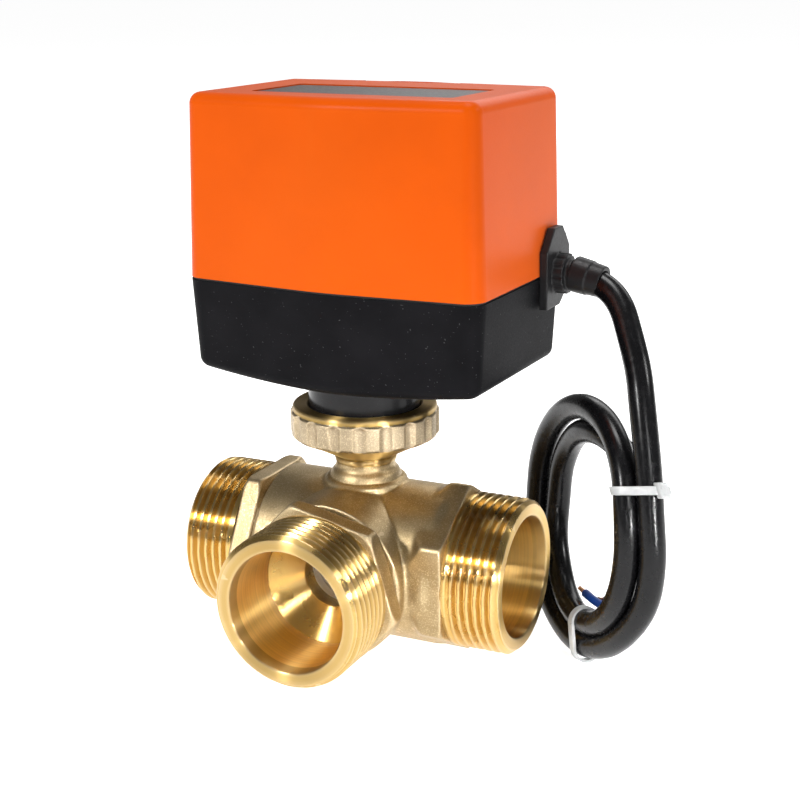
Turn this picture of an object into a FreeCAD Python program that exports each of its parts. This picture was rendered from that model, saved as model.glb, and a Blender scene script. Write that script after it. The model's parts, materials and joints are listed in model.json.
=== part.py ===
import FreeCAD
import Part
import math
import os

V = FreeCAD.Vector

# Three-port ball valve with a clamped-on electric actuator.  Millimetres.
# Everything is drawn round the crossing of the port axes: X along the run,
# -Y out of the front port, Z up the stem.  place() moves it to the final frame,
# whose origin lies on the standing surface under the middle of the valve.

# ---- ports (G 1 1/4 outside thread, 11 threads per inch) ----
port_length = 47.0
thread_r = 20.955
thread_pitch = 2.309
thread_depth = 1.40
thread_crest = 0.55
thread_root = 0.30
thread_grooves = 6
thread_first = 44.35
end_chamfer = 1.35
bore_r = 16.4
bore_end = 27.0
way_r = 8.2
cone_end = 21.3
mouth_chamfer = 0.4

# ---- hexagons ----
hex_flat = 41.6
hex_corner_r = 23.8
hex_outer = 31.5
hex_inner = 25.9

# ---- body ----
barrel_r = 21.6
barrel_end = 24.9
cavity_r = 17.0
spigot_r = 18.5
spigot_end = 19.6
counterbore_end = 18.8
nose_r = 12.4
nose_end = 12.6
pocket_r = 11.3
pocket_end = 16.6
fit = 0.05
shoulder_r = 6.2
shoulder_top = 18.9
washer_top = 19.5

# ---- neck ----
neck_base_r = 11.4
neck_flare_r = 9.8
neck_r = 8.1
neck_waist_r = 7.95
neck_lip_r = 8.6
neck_top = 37.0
stem_r = 4.0

# ---- ball, seats and stem ----
ball_r = 16.0
ball_way_r = 7.5
seat_gap = 0.08
tang_width = 4.0
tang_length = 12.0
tang_low = 12.4
drive_square = 5.6
drive_low = 33.0
drive_top = 44.0
o_ring_heights = (23.5, 27.0)
o_ring_r = 0.95
packing_low = 30.0
packing_r = 6.0

# ---- union nut ----
nut_r = 20.2
nut_ring_r = 19.6
nut_low = 29.3
flute_low = 34.9
flute_top = 41.6
nut_top = 43.5
nut_flutes = 18
flute_r = 2.6
flute_depth = 0.85
nut_hole_r = 8.3
nut_floor = 35.0
nut_cavity_r = 15.6

# ---- actuator shell ----
turn_deg = -2.0
box_shift = 4.2
box_half = 42.0
box_depth = 27.2
box_bulge = 3.3
corner_r = 5.0
apex_r = 90.0
seam = 79.4
seam_gap = 0.6
cover_top = 127.0
cover_inset = 1.4
base_bottom = 52.8
base_inset = 1.5
base_bow = 2.9
edge_r = 3.0
wall = 2.3
collar_r = 15.2
collar_bore_r = 8.05
collar_low = 37.3
floor_z = 58.5

# ---- label recess and release tab on the cover ----
label_x = (-22.5, 34.5)
label_y = (-17.0, 8.6)
label_depth = 0.8
tab_x = (-12.0, 17.0)
tab_y = (23.4, 26.2)

# ---- gear train ----
module = 0.8
output_teeth = 40
pinion_teeth = 12
idler_teeth = 36
pressure_angle = math.radians(20)
tooth_thinning = 0.16
idler_x = module * (output_teeth + pinion_teeth) / 2
pinion_step = module * (idler_teeth + pinion_teeth) / 2
pinion_bearing = math.radians(65)
motor_centre = (25.0, 3.0)
motor_r = 17.5
lower_plate = (62.0, 64.0)
upper_plate = (76.0, 78.0)
output_gear_z = (65.0, 70.0)
idler_gear_z = (71.0, 74.0)
shaft_low = 38.5
shaft_r = 6.0
shaft_upper_r = 4.0
shaft_top = 88.0
board_z = 103.0
pillar_spots = ((-31.0, -12.0), (-31.0, 12.0), (39.0, -13.5), (2.0, 20.5))
cam_r = 6.8
cam_flat = 5.2
switch_face = -9.8
switch_half = 6.4
lever_x = -7.45
lever_pivot_y = 12.5
lever_length = 12.2

# ---- cable ----
cable_r = 3.4
gland_y = 18.1
gland_z = 79.6
gland_face = 46.25
relief_end = (61.0, 17.8, 78.2)
coil_centre = (61.8, 11.4)
coil_yaw = math.radians(-44)
coil_radius = 32.8
inner_turn_radius = 25.7
coil_front = -3.6
coil_back = 7.6
inner_turn_back = 4.6
coil_lift = 0.5
tie_thick = 1.1
tie_width = 3.4
wire_r = 1.05


def cylinder(r, x0, x1):
    """Solid cylinder on the X axis."""
    return Part.makeCylinder(r, x1 - x0, V(x0, 0, 0), V(1, 0, 0))


def disc(r, z0, z1, x=0, y=0):
    """Upright cylinder."""
    return Part.makeCylinder(r, z1 - z0, V(x, y, z0))


def ring(r_out, r_in, z0, z1, x=0, y=0):
    return disc(r_out, z0, z1, x, y).cut(disc(r_in, z0 - 1, z1 + 1, x, y))


def box(x, y, z):
    """Block between pairs of coordinates."""
    return Part.makeBox(x[1] - x[0], y[1] - y[0], z[1] - z[0], V(x[0], y[0], z[0]))


def turned_x(points):
    """Solid of revolution about X from (x, r) corners."""
    wire = Part.makePolygon([V(x, 0, r) for x, r in points + points[:1]])
    return Part.Face(wire).revolve(V(0, 0, 0), V(1, 0, 0), 360)


def turned_z(points):
    """Solid of revolution about Z from (r, z) corners."""
    wire = Part.makePolygon([V(r, 0, z) for r, z in points + points[:1]])
    return Part.Face(wire).revolve(V(0, 0, 0), V(0, 0, 1), 360)


def about_z(shape, degrees):
    turned = shape.copy()
    turned.rotate(V(0, 0, 0), V(0, 0, 1), degrees)
    return turned


def join(shapes):
    whole = shapes[0].multiFuse(shapes[1:])
    return whole.removeSplitter()


# ---- brass pieces ----

def threaded_end():
    """Outside of one port from the hexagon to its face, on +X, solid."""
    points = [(hex_inner, 0), (hex_inner, thread_r - 1.2), (hex_outer, thread_r - 1.2)]
    points.append((hex_outer, thread_r))
    half_crest = (thread_pitch - thread_crest) / 2
    for i in reversed(range(thread_grooves)):
        x = thread_first - i * thread_pitch
        points.append((x - half_crest, thread_r))
        points.append((x - thread_root / 2, thread_r - thread_depth))
        points.append((x + thread_root / 2, thread_r - thread_depth))
        points.append((x + half_crest, thread_r))
    points.append((port_length - end_chamfer, thread_r))
    points.append((port_length, thread_r - end_chamfer))
    points.append((port_length, 0))
    return turned_x(points)


def port_way(inner):
    """Bore of one port: parallel mouth, cone, then the small way in to x = inner."""
    return turned_x([(inner, 0), (inner, way_r), (cone_end, way_r), (bore_end, bore_r),
                     (port_length - mouth_chamfer, bore_r),
                     (port_length + 0.1, bore_r + mouth_chamfer + 0.1), (port_length + 0.1, 0)])


def hexagon(corner_at, x0):
    """Hexagon band on +X with turned-down corners; corner_at is an angle from the top."""
    across = hex_flat / math.cos(math.radians(30)) / 2
    corners = []
    for i in range(7):
        a = math.radians(corner_at + 60 * i)
        corners.append(V(x0, across * math.sin(a), across * math.cos(a)))
    prism = Part.Face(Part.makePolygon(corners)).extrude(V(hex_outer - x0, 0, 0))
    crown = turned_x([(x0, 0), (x0, barrel_r - 0.2), (hex_inner - 0.4, hex_corner_r),
                      (hex_outer - 0.7, hex_corner_r), (hex_outer, hex_corner_r - 0.9), (hex_outer, 0)])
    return prism.common(crown)


def make_connector(corner_at):
    """Screwed-in port end, on +X."""
    plug = turned_x([(nose_end, 0), (nose_end, nose_r), (spigot_end, nose_r), (spigot_end, spigot_r),
                     (hex_inner, spigot_r), (hex_inner, 0)])
    collar = cylinder(thread_r - 1.6, barrel_end + 0.15, hex_inner + 1)
    band = hexagon(corner_at, hex_inner - 0.01)
    solid = join([plug, collar, band, threaded_end()])
    pocket = cylinder(pocket_r, nose_end - 1, pocket_end)
    return solid.cut(port_way(pocket_end - 0.5)).cut(pocket)


def point_left(shape):
    return about_z(shape, 180)


def point_front(shape):
    return about_z(shape, -90)


def neck_outline():
    """Outside of the neck: base ring, hollow flare, waist and machined lip."""
    flare_low = 24.3
    flare_high = 26.7
    middle = V(neck_r + 0.45, 0, flare_low + 0.9)
    corners = [V(0, 0, 12), V(neck_base_r, 0, 12), V(neck_base_r, 0, 21.9), V(neck_flare_r, 0, 23.3),
               V(neck_flare_r, 0, flare_low)]
    upper = [V(neck_r, 0, flare_high), V(neck_r, 0, 27.4), V(neck_lip_r, 0, 27.5), V(neck_lip_r, 0, 28.5),
             V(neck_waist_r, 0, 28.9), V(neck_waist_r, 0, neck_top - 0.4),
             V(neck_waist_r - 0.4, 0, neck_top), V(0, 0, neck_top), V(0, 0, 12)]
    edges = Part.makePolygon(corners).Edges
    edges.append(Part.Arc(corners[-1], middle, upper[0]).toShape())
    edges += Part.makePolygon(upper).Edges
    return Part.Face(Part.Wire(edges)).revolve(V(0, 0, 0), V(0, 0, 1), 360)


def make_valve_body():
    run = cylinder(barrel_r, -barrel_end, hex_inner + 1)
    branch = point_front(cylinder(barrel_r, 0, barrel_end))
    right_end = join([hexagon(0, hex_inner - 3.6), threaded_end()])
    outside = join([run, branch, neck_outline(), right_end])
    cavity = cylinder(cavity_r, -counterbore_end - 0.5, nose_end)
    counterbore = cylinder(spigot_r + fit, counterbore_end, barrel_end + 1)
    seat_pocket = cylinder(pocket_r, nose_end - 1, pocket_end)
    front_cavity = point_front(cylinder(cavity_r, 0, counterbore_end + 0.5))
    body = outside.cut(cavity).cut(front_cavity)
    body = body.cut(point_left(counterbore)).cut(point_front(counterbore))
    body = body.cut(seat_pocket).cut(port_way(pocket_end - 0.5))
    body = body.cut(disc(shoulder_r + 0.1, 15, washer_top))
    body = body.cut(disc(stem_r + fit, 15, neck_top + 1))
    body = body.cut(disc(packing_r + fit, packing_low, neck_top + 1))
    slot = box((neck_waist_r - 0.1, 10), (-1.3, 1.3), (27.2, 28.0))
    for i in range(4):
        body = body.cut(about_z(slot, 90 * i - 58))
    return body


def make_seal():
    """Flat ring between a connector and the body, on +X."""
    return cylinder(spigot_r - 0.1, counterbore_end, spigot_end).cut(
        cylinder(cavity_r + 0.2, counterbore_end - 1, spigot_end + 1))


def make_seat():
    """Seat ring on +X, hollowed to the ball."""
    blank = cylinder(pocket_r - 0.05, nose_end - 0.2, pocket_end).cut(cylinder(way_r - 0.1, 0, 30))
    return blank.cut(Part.makeSphere(ball_r + seat_gap))


def make_ball():
    """Ball with an L-shaped way: one leg to the front port, one to the right port."""
    ball = Part.makeSphere(ball_r)
    leg = cylinder(ball_way_r, 0, ball_r + 1)
    elbow = Part.makeSphere(ball_way_r)
    ball = ball.cut(leg).cut(point_front(leg)).cut(elbow)
    slot = box((-10, 10), (-tang_width / 2 - 0.1, tang_width / 2 + 0.1), (tang_low - 0.2, ball_r + 1))
    return ball.cut(slot)


def make_stem():
    tang = box((-tang_length / 2, tang_length / 2), (-tang_width / 2, tang_width / 2), (tang_low, 17.1))
    tang = tang.common(disc(shoulder_r, 10, 20))
    shoulder = disc(shoulder_r, 17.0, shoulder_top)
    shank = disc(stem_r, 17.0, drive_low)
    half = drive_square / 2
    drive = box((-half, half), (-half, half), (drive_low - 0.1, drive_top))
    drive = drive.common(turned_z([(0, drive_low - 1), (stem_r, drive_low - 1), (stem_r, drive_top - 0.6),
                                   (stem_r - 0.6, drive_top), (0, drive_top)]))
    stem = join([tang, shoulder, shank, drive])
    for z in o_ring_heights:
        stem = stem.cut(ring(stem_r + 1, stem_r - 2.05 * o_ring_r, z - o_ring_r - 0.1, z + o_ring_r + 0.1))
    return stem


def make_o_rings():
    rings = [Part.makeTorus(stem_r - o_ring_r + 0.02, o_ring_r, V(0, 0, z)) for z in o_ring_heights]
    return Part.makeCompound(rings)


def make_thrust_washer():
    return ring(shoulder_r, stem_r + 0.15, shoulder_top, washer_top)


def make_packing():
    """Packing ring pressed down round the stem."""
    return ring(packing_r, stem_r + 0.04, packing_low, packing_low + 1.5)


def make_packing_nut():
    """Slotted ring that holds the packing down."""
    nut = ring(packing_r, stem_r + 0.3, packing_low + 1.5, neck_top - 0.8)
    slot = box((-8, 8), (-0.8, 0.8), (neck_top - 2.0, neck_top))
    return nut.cut(slot)


def make_nut_ring():
    """Retaining ring in the neck's groove, which holds the union nut on."""
    return ring(13.0, neck_waist_r, nut_floor + 0.15, nut_floor + 1.5)


def make_union_nut():
    outline = turned_z([(nut_hole_r, nut_low), (nut_hole_r + 0.6, nut_low), (nut_r - 1.7, flute_low - 0.4),
                        (nut_r - 0.9, flute_low - 0.4), (nut_r, flute_low + 0.5), (nut_r, flute_top),
                        (nut_ring_r, flute_top + 0.3), (nut_ring_r, nut_top - 0.5),
                        (nut_ring_r - 0.5, nut_top), (nut_hole_r, nut_top)])
    cutters = []
    for i in range(nut_flutes):
        a = math.radians(360 / nut_flutes * (i + 0.62))
        reach = nut_r + flute_r - flute_depth
        groove = disc(flute_r, flute_low - 2, flute_top - 1.2, reach * math.cos(a), reach * math.sin(a))
        top = Part.makeSphere(flute_r, V(reach * math.cos(a), reach * math.sin(a), flute_top - 1.2))
        cutters.append(groove)
        cutters.append(top)
    nut = outline.cut(Part.makeCompound(cutters))
    return nut.cut(disc(nut_cavity_r, nut_floor, nut_top + 1))


# ---- actuator shell ----

def shell_outline(inset, z):
    """Closed outline of the casing: flat sides, roof-shaped front and back, round corners."""
    hx = box_half - inset
    hy = box_depth - inset
    slope = math.atan2(box_bulge, box_half)
    r = max(corner_r - inset, 1.2)
    apex_y = hy + hx * math.tan(slope)
    along = V(math.cos(slope), -math.sin(slope), 0)
    setback = r * math.tan((math.pi / 2 - slope) / 2)
    bisector = math.pi / 4 + slope / 2
    apex_top = V(0, apex_y - apex_r * (1 / math.cos(slope) - 1), 0)
    apex_end = V(0, apex_y, 0) + along * (apex_r * math.tan(slope))
    arc_start = V(hx, hy, 0) - along * setback
    arc_end = V(hx, hy - setback, 0)
    arc_middle = V(hx - r, hy - setback, 0) + V(r * math.cos(bisector), r * math.sin(bisector), 0)

    def at(point, sx, sy):
        return V(sx * point.x + box_shift, sy * point.y, z)

    edges = []
    for sx in (-1, 1):
        for sy in (-1, 1):
            start = at(arc_start, sx, sy)
            edges.append(Part.makeLine(at(apex_end, sx, sy), start))
            edges.append(Part.Arc(start, at(arc_middle, sx, sy), at(arc_end, sx, sy)).toShape())
        edges.append(Part.makeLine(at(arc_end, sx, -1), at(arc_end, sx, 1)))
    for sy in (-1, 1):
        ends = [at(apex_end, sx, sy) for sx in (-1, 1)]
        edges.append(Part.Arc(ends[0], at(apex_top, 1, sy), ends[1]).toShape())
    return Part.Wire(Part.__sortEdges__(edges))


def shell_loft(inset_low, z_low, inset_high, z_high):
    return Part.makeLoft([shell_outline(inset_low, z_low), shell_outline(inset_high, z_high)], True, True)


def bow_cutter():
    """Everything below the base's bowed underside."""
    radius = (box_half ** 2 + base_bow ** 2) / (2 * base_bow)
    barrel = Part.makeCylinder(radius, 160, V(box_shift, -80, base_bottom + radius), V(0, 1, 0))
    slab = box((box_shift - 80, box_shift + 80), (-80, 80), (base_bottom - 20, base_bottom + 12))
    return slab.cut(barrel)


def edges_near(shape, test):
    return [e for e in shape.Edges if test(e)]


def low_rim(edge):
    """True for the outer edges round the base's underside."""
    b = edge.BoundBox
    flat = b.ZLength < base_bow + 0.6
    low = b.ZMax < base_bottom + base_bow + 0.8
    outside = abs(b.Center.x - box_shift) > 20 or abs(b.Center.y) > 15
    return flat and low and outside


def high_rim(edge):
    b = edge.BoundBox
    return b.ZMin > cover_top - 0.01


def gland_hole():
    return Part.makeCylinder(4.3, 12, V(gland_face - 9, gland_y, gland_z), V(1, 0, 0))


def make_base():
    low_z = base_bottom - 0.5
    outer = shell_loft(base_inset, low_z, 0, seam - seam_gap / 2)
    outer = outer.cut(bow_cutter())
    outer = outer.makeFillet(edge_r, edges_near(outer, low_rim))
    inner = shell_loft(wall + 0.6, floor_z, wall, seam + 1)
    tray = outer.cut(inner)
    tray = tray.cut(disc(collar_bore_r, base_bottom - 2, floor_z + 1))
    for x, y in screw_spots():
        boss = disc(3.6, floor_z - 0.5, seam - 3, x, y)
        tray = join([tray, boss])
    for x, y in screw_spots():
        tray = tray.cut(disc(1.75, base_bottom - 2, seam, x, y))
        tray = tray.cut(disc(3.3, base_bottom - 2, floor_z + 3, x, y))
    for x, y in pillar_spots:
        tray = join([tray, disc(3.0, floor_z - 0.5, lower_plate[0], x, y)])
        tray = tray.cut(disc(1.2, floor_z + 1.2, lower_plate[0] + 1, x, y))
    return tray.cut(gland_hole())


def make_collar(tray):
    """Smooth sleeve under the tray, which the union nut clamps to the neck."""
    sleeve = ring(collar_r, collar_bore_r, collar_low, floor_z - 0.5)
    return sleeve.cut(tray)


def screw_spots():
    """Centres of the four cover screws, near the corners."""
    spots = []
    for sx in (-1, 1):
        for sy in (-1, 1):
            spots.append((box_shift + sx * (box_half - 8.5), sy * (box_depth - 6.0)))
    return spots


def make_cover():
    outer = shell_loft(0, seam + seam_gap / 2, cover_inset, cover_top)
    outer = outer.makeFillet(edge_r, edges_near(outer, high_rim))
    inner = shell_loft(wall, seam - 1, wall + cover_inset, cover_top - wall)
    cover = outer.cut(inner)
    for x, y in screw_spots():
        boss = disc(3.6, seam - 2.6, cover_top - wall + 0.5, x, y).cut(disc(1.2, seam - 5, seam + 14, x, y))
        cover = join([cover, boss])
    recess = box(label_x, label_y, (cover_top - label_depth, cover_top + 1))
    recess = recess.makeFillet(1.5, [e for e in recess.Edges if e.BoundBox.ZLength > 1])
    tab_recess = box(tab_x, tab_y, (cover_top - 1.2, cover_top + 1))
    return cover.cut(recess).cut(tab_recess).cut(gland_hole())


def make_gasket():
    """Thin strip in the seam, set back from the outside."""
    blank = shell_loft(0.45, seam - seam_gap / 2, 0.45, seam + seam_gap / 2)
    hollow = shell_loft(wall, seam - 1, wall, seam + 1)
    return blank.cut(hollow).cut(gland_hole())


def make_label():
    g = 0.15
    plate = box((label_x[0] + g, label_x[1] - g), (label_y[0] + g, label_y[1] - g),
                (cover_top - label_depth, cover_top - label_depth + 0.5))
    return plate.makeFillet(1.3, [e for e in plate.Edges if e.BoundBox.ZLength > 0.4])


def make_release_tab():
    """Latch tab that lies in its recess at the back of the cover's top."""
    g = 0.2
    tab = box((tab_x[0] + g, tab_x[1] - g), (tab_y[0] + g, tab_y[1] - g), (cover_top - 1.2, cover_top - 0.15))
    grip = box((tab_x[0] + 9, tab_x[1] - 9), (tab_y[0], tab_y[1] + 1), (cover_top - 0.5, cover_top + 1))
    return tab.cut(grip)


def make_cover_screws():
    screws = []
    for x, y in screw_spots():
        head = disc(3.0, floor_z + 0.8, floor_z + 3.0, x, y)
        shank = disc(1.5, floor_z + 2.9, seam - 2.6, x, y)
        tip = disc(1.15, seam - 2.7, seam + 8, x, y)
        cross = box((x - 1.8, x + 1.8), (y - 0.4, y + 0.4), (floor_z, floor_z + 1.7))
        screws.append(join([head, shank, tip]).cut(cross))
    return Part.makeCompound(screws)


# ---- drive train ----

def gear_outline(teeth, phase):
    """Spur gear outline about the origin; phase is the bearing of one tooth's middle, in radians."""
    pitch_r = module * teeth / 2
    base_r = pitch_r * math.cos(pressure_angle)
    tip_r = pitch_r + 0.85 * module
    root_r = pitch_r - 1.2 * module
    spread = math.tan(pressure_angle) - pressure_angle
    half_tooth = math.pi / (2 * teeth) - tooth_thinning / (2 * pitch_r)

    def half_angle(r):
        """Half the tooth's angle at radius r."""
        if r <= base_r:
            return half_tooth + spread
        a = math.acos(base_r / r)
        return half_tooth + spread - (math.tan(a) - a)

    start_r = max(base_r, root_r + 0.1)
    flank = [root_r, start_r, (start_r + pitch_r) / 2 + 0.05 * module, (pitch_r + tip_r) / 2, tip_r]
    points = []
    for i in range(teeth):
        middle = phase + 2 * math.pi * i / teeth
        for r in flank:
            a = middle - half_angle(r)
            points.append(V(r * math.cos(a), r * math.sin(a), 0))
        for r in reversed(flank):
            a = middle + half_angle(r)
            points.append(V(r * math.cos(a), r * math.sin(a), 0))
    points.append(points[0])
    return Part.Face(Part.makePolygon(points))


def gear(teeth, phase, z0, z1, x=0, y=0):
    face = gear_outline(teeth, phase)
    face.translate(V(x, y, z0))
    return face.extrude(V(0, 0, z1 - z0))


def pinion_spot():
    return (idler_x + pinion_step * math.cos(pinion_bearing), pinion_step * math.sin(pinion_bearing))


def make_output_gear():
    wheel = gear(output_teeth, 0, output_gear_z[0], output_gear_z[1])
    pocket = ring(12.5, 8.5, output_gear_z[1] - 1.5, output_gear_z[1] + 1)
    return wheel.cut(disc(shaft_r, 60, 75)).cut(pocket)


def make_output_shaft():
    low = disc(shaft_r, shaft_low, output_gear_z[1])
    high = disc(shaft_upper_r, output_gear_z[1] - 0.1, shaft_top)
    half = drive_square / 2 + 0.1
    socket = box((-half, half), (-half, half), (shaft_low - 1, drive_top + 0.5))
    return join([low, high]).cut(socket)


def make_idler():
    """Wheel and pinion moulded in one, loose on its axle."""
    tooth_gap = math.pi / pinion_teeth
    small = gear(pinion_teeth, math.pi + tooth_gap, output_gear_z[0], idler_gear_z[0] + 0.1, idler_x, 0)
    large = gear(idler_teeth, 0, idler_gear_z[0], idler_gear_z[1], idler_x, 0)
    hub = disc(3.2, idler_gear_z[1] - 0.1, upper_plate[0] - 0.5, idler_x, 0)
    return join([small, large, hub]).cut(disc(1.55, 60, 80, idler_x, 0))


def make_idler_axle():
    return disc(1.5, lower_plate[0], upper_plate[1], idler_x, 0)


def make_motor_pinion():
    """Pinion and shaft of the motor; the pinion meshes with the idler's wheel."""
    x, y = pinion_spot()
    turn = pinion_bearing + math.pi
    wheel_phase = math.fmod(turn - math.pi, 2 * math.pi / idler_teeth)
    offset = -wheel_phase * idler_teeth / pinion_teeth
    phase = turn + math.pi / pinion_teeth + offset
    wheel = gear(pinion_teeth, phase, idler_gear_z[0] - 0.3, idler_gear_z[1] + 0.3, x, y)
    shaft = disc(1.5, idler_gear_z[1], upper_plate[1] + 3.9, x, y)
    return join([wheel, shaft])


def make_gear_plate(z, shaft_hole_r):
    """Plate of the gear train, notched round the cover screws' bosses."""
    plate = shell_loft(5.0, z[0], 5.0, z[1])
    plate = join([plate] + [disc(3.2, z[0], z[1], x, y) for x, y in pillar_spots])
    for x, y in screw_spots():
        plate = plate.cut(disc(4.3, z[0] - 1, z[1] + 1, x, y))
    for x, y in pillar_spots:
        plate = plate.cut(disc(1.2, z[0] - 1, z[1] + 1, x, y))
    plate = plate.cut(disc(shaft_hole_r, z[0] - 1, z[1] + 1))
    return plate.cut(disc(1.5, z[0] - 1, z[1] + 1, idler_x, 0))


def make_upper_plate():
    x, y = pinion_spot()
    plate = make_gear_plate(upper_plate, shaft_upper_r + fit)
    return plate.cut(disc(2.2, upper_plate[0] - 1, upper_plate[1] + 1, x, y))


def make_plate_pillars():
    return Part.makeCompound([ring(2.6, 1.2, lower_plate[1], upper_plate[0], x, y) for x, y in pillar_spots])


def make_board_pillars():
    return Part.makeCompound([ring(2.4, 1.2, upper_plate[1], board_z, x, y) for x, y in pillar_spots])


def make_motor():
    x, y = motor_centre
    px, py = pinion_spot()
    can = disc(motor_r, upper_plate[1], upper_plate[1] + 15, x, y)
    can = can.makeFillet(1.2, [e for e in can.Edges if e.BoundBox.ZLength < 0.01 and e.BoundBox.ZMin > 80])
    reach = motor_r + 2.0
    lugs = box((x - 3, x + 3), (y - reach, y + reach), (upper_plate[1], upper_plate[1] + 1))
    return join([lugs, can]).cut(disc(1.55, 70, upper_plate[1] + 4, px, py))


def make_cam():
    """Two stacked cam discs on the output shaft, each with a flat for its switch."""
    low = disc(cam_r, upper_plate[1] + 1.0, upper_plate[1] + 4.0)
    high = disc(cam_r, upper_plate[1] + 4.0, upper_plate[1] + 7.0)
    flat = box((cam_flat, 12), (-12, 12), (70, 90))
    low = low.cut(about_z(flat, 150))
    high = high.cut(about_z(flat, -120))
    return join([low, high]).cut(disc(shaft_upper_r, 70, 100))


def switch_level(side):
    """Height of a limit switch's lever; side is -1 at the front, 1 at the back."""
    return upper_plate[1] + (1.0 if side < 0 else 4.0)


def make_switch(side):
    """Snap switch with three blades and a pin that carries its lever."""
    x = switch_face
    y = side * (switch_half + 0.6)
    z = switch_level(side)
    pivot_y = side * lever_pivot_y
    case = box((x - 6.5, x), (y - switch_half, y + switch_half), (upper_plate[1], z + 4.5))
    case = case.makeFillet(0.5, [e for e in case.Edges if e.BoundBox.ZLength > 3])
    ear = box((x - 0.6, lever_x + 0.9), (pivot_y - 0.9, pivot_y + 0.9), (z, z + 0.4))
    pin = disc(0.35, z + 0.3, z + 2.8, lever_x, pivot_y)
    blades = [box((x - 9.5, x - 6.4), (y + d - 0.4, y + d + 0.4), (z + 1, z + 3)) for d in (-5, 0, 5)]
    return join([case, ear, pin] + blades)


def make_lever(side):
    """Sprung blade of a limit switch, hinged at its outer end."""
    z = switch_level(side) + 0.6
    blade_ends = (-lever_pivot_y + 0.6, lever_length - lever_pivot_y)
    blade = box((lever_x - 0.25, lever_x + 0.25), blade_ends, (z, z + 2))
    knuckle = ring(0.8, 0.4, z, z + 2, lever_x, -lever_pivot_y)
    lever = join([blade, knuckle])
    if side > 0:
        lever = lever.mirror(V(0, 0, 0), V(0, 1, 0))
    return lever


def make_board():
    plate = box((-33.2, 41.4), (-20.5, 22.5), (board_z, board_z + 1.6))
    for x, y in pillar_spots:
        plate = plate.cut(disc(1.2, board_z - 1, board_z + 3, x, y))
    for x, y in screw_spots():
        plate = plate.cut(disc(4.2, board_z - 1, board_z + 3, x, y))
    return plate


def make_terminal_block():
    top = board_z + 1.6
    block = box((5.0, 30.0), (8.0, 17.0), (top, top + 10.0))
    for i in range(5):
        x = 7.5 + 5 * i
        block = block.cut(disc(1.8, top + 5, top + 11, x, 12.5))
        block = block.cut(box((x - 1.6, x + 1.6), (16.0, 18.0), (top + 1.5, top + 5.0)))
    return block


def make_capacitor():
    top = board_z + 1.6
    can = box((-24, -4), (-16, -6), (top, top + 14))
    return can.makeFillet(1.0, can.Edges)


def make_relay():
    top = board_z + 1.6
    case = box((6, 25), (-16, -1), (top, top + 15))
    return case.makeFillet(0.8, [e for e in case.Edges if e.BoundBox.ZLength > 5])


def make_plate_screws():
    """Screws down the pillars, through both plates."""
    screws = []
    for x, y in pillar_spots:
        shank = disc(1.15, floor_z + 1.5, board_z + 1.6, x, y)
        head = disc(2.2, board_z + 1.6, board_z + 3.2, x, y)
        slot = box((x - 2.5, x + 2.5), (y - 0.3, y + 0.3), (board_z + 2.4, board_z + 4))
        screws.append(join([shank, head]).cut(slot))
    return Part.makeCompound(screws)


def make_output_bush():
    """Bush in the base's collar that carries the output shaft."""
    return ring(8.0, shaft_r + fit, collar_low, floor_z + 1.5)


# ---- cable and what holds it ----

def make_gland():
    """Gland: pointed flange outside the casing, ribbed boss and a stub through the wall."""
    g = gland_face
    outline = [(-7.7, -8.6), (-7.7, 6.4), (-2.9, 12.1), (2.9, 12.1), (7.7, 6.4), (7.7, -4.2), (1.5, -8.6)]
    outline.append(outline[0])
    corners = [V(g, gland_y + y, gland_z + z) for y, z in outline]
    flange = Part.Face(Part.makePolygon(corners)).extrude(V(2.2, 0, 0))

    def bar(r, x0, x1):
        return Part.makeCylinder(r, x1 - x0, V(x0, gland_y, gland_z), V(1, 0, 0))

    boss = bar(5.3, g + 2.1, g + 5.2)
    neck = bar(3.9, g + 5.1, g + 6.6)
    stub = bar(4.2, g - 4.2, g + 0.1)
    body = join([flange, boss, neck, stub])
    for i in range(12):
        a = math.radians(30 * i)
        y = gland_y + 5.6 * math.cos(a)
        z = gland_z + 5.6 * math.sin(a)
        body = body.cut(Part.makeCylinder(0.7, 3.2, V(g + 2.2, y, z), V(1, 0, 0)))
    return body


def make_strain_relief():
    """Two-step sleeve that grips the cable outside the gland."""
    start = V(gland_face + 6.6, gland_y + 0.3, gland_z + 0.1)
    way = V(*relief_end) - start
    grip = Part.makeCone(4.75, 4.6, way.Length * 0.55, start, way)
    tip = Part.makeCone(4.4, 4.15, way.Length * 0.47, start + way * 0.53, way)
    return join([grip, tip])


route = [
    (53.8, 16.6, 79.7),
    (60.2, 15.8, 78.5),
    (67.2, 12.8, 74.3),
    (72.1, 6.9, 65.9),
    (75.6, 2.5, 59.2),
    (77.8, -1.3, 52.4),
    (82.0, -7.4, 36.0),
    (83.6, -9.9, 25.0),
]


def rounded_path(points):
    """Straight runs joined by tangent arcs, each as large as its two runs allow."""
    corners = [V(*p) for p in points]
    edges = []
    last = corners[0]
    for a, b, c in zip(corners, corners[1:], corners[2:]):
        into = (a - b).normalize()
        out = (c - b).normalize()
        half_turn = (math.pi - into.getAngle(out)) / 2
        cut = 0.45 * min((b - a).Length, (c - b).Length)
        radius = cut / math.tan(half_turn)
        start = b + into * cut
        end = b + out * cut
        bisector = (into + out).normalize()
        middle = b + bisector * (radius / math.cos(half_turn) - radius)
        edges.append(Part.LineSegment(last, start).toShape())
        edges.append(Part.Arc(start, middle, end).toShape())
        print("cable bend radius %.1f mm, turn %.0f degrees" % (radius, math.degrees(2 * half_turn)))
        last = end
    edges.append(Part.LineSegment(last, corners[-1]).toShape())
    return Part.Wire(edges)


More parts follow.
